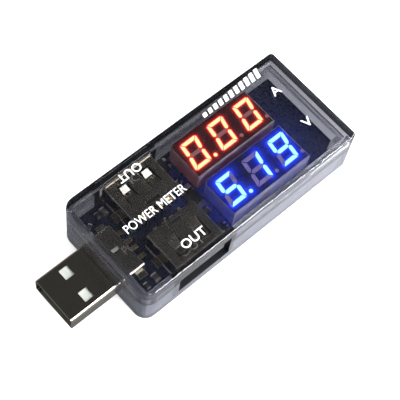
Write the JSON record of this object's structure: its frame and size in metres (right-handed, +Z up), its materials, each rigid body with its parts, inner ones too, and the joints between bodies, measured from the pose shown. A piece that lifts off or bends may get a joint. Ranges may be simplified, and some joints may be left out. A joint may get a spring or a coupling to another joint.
{
  "type": "usb power meter",
  "caption": "Inline USB-A power meter with a plug, output ports in its sides and current and voltage LED readouts under a smoky cover.",
  "frame": {"origin": "middle of the case's underside, on the surface it rests on", "axes": "+X from the plug end to the display end, +Y out of output port B, +Z up through the window cover"},
  "size_m": [0.074, 0.0276, 0.0138],
  "materials": {
    "grey_case": "translucent grey moulding",
    "smoky_cover": "clear smoky moulding, polished",
    "board": "dark solder mask",
    "nickel": "nickel plate, satin",
    "white_moulding": "moulded, satin",
    "black_moulding": "moulded, satin",
    "display_block": "black face on a grey block",
    "display_circuit": "solder mask",
    "tinned_pins": "tin plate, satin",
    "red_lit": "lit segment",
    "red_unlit": "clear segment, unlit",
    "blue_lit": "lit segment",
    "blue_unlit": "clear segment, unlit",
    "chip_black": "moulded epoxy",
    "capacitor_yellow": "moulded epoxy",
    "ceramic_tan": "fired ceramic",
    "contact_gold": "gold flash",
    "solder": "reflowed solder, bright",
    "legend_ink": "white screen print"
  },
  "bodies": {
    "meter": {"amplifier_chip": "chip_black", "amplifier_leads": "tinned_pins", "amps_display_case": "display_block", "amps_display_circuit": "display_circuit", "amps_display_pins": "tinned_pins", "amps_lit_segments": "red_lit", "amps_unlit_segments": "red_unlit", "buffer_capacitor": "capacitor_yellow", "buffer_capacitor_ends": "tinned_pins", "chip_capacitor_ends": "tinned_pins", "chip_capacitors": "ceramic_tan", "chip_resistor_ends": "tinned_pins", "chip_resistors": "chip_black", "circuit_board": "board", "controller_chip": "chip_black", "controller_leads": "tinned_pins", "current_shunt": "chip_black", "current_shunt_ends": "tinned_pins", "display_solder": "solder", "lower_case": "grey_case", "plug_contact_data_minus": "contact_gold", "plug_contact_data_plus": "contact_gold", "plug_contact_ground": "contact_gold", "plug_contact_power": "contact_gold", "plug_insulator": "white_moulding", "plug_shell": "nickel", "port_a_contact_tails": "contact_gold", "port_a_housing": "black_moulding", "port_a_shell": "nickel", "port_b_contact_tails": "contact_gold", "port_b_housing": "black_moulding", "port_b_shell": "nickel", "port_tail_solder": "solder", "regulator_leads": "tinned_pins", "voltage_regulator": "chip_black", "volts_display_case": "display_block", "volts_display_circuit": "display_circuit", "volts_display_pins": "tinned_pins", "volts_lit_segments": "blue_lit", "volts_unlit_segments": "blue_unlit", "window_cover": "smoky_cover"},
    "port_a_contacts": {"port_a_finger_power": "contact_gold", "port_a_finger_data_minus": "contact_gold", "port_a_finger_data_plus": "contact_gold", "port_a_finger_ground": "contact_gold"},
    "port_b_contacts": {"port_b_finger_power": "contact_gold", "port_b_finger_data_minus": "contact_gold", "port_b_finger_data_plus": "contact_gold", "port_b_finger_ground": "contact_gold"}
  },
  "joints": [
    {"name": "port_a_contact_flex", "type": "hinge", "parent": "meter", "child": "port_a_contacts", "pos_m": [-0.0138, -0.00475, 0.00915], "axis": [-1, 0, 0], "range_deg": [0, 3.5], "stiffness_Nm_per_rad": 0.2},
    {"name": "port_b_contact_flex", "type": "hinge", "parent": "meter", "child": "port_b_contacts", "pos_m": [-0.0138, 0.00475, 0.00915], "axis": [1, 0, 0], "range_deg": [0, 3.5], "stiffness_Nm_per_rad": 0.2}
  ]
}
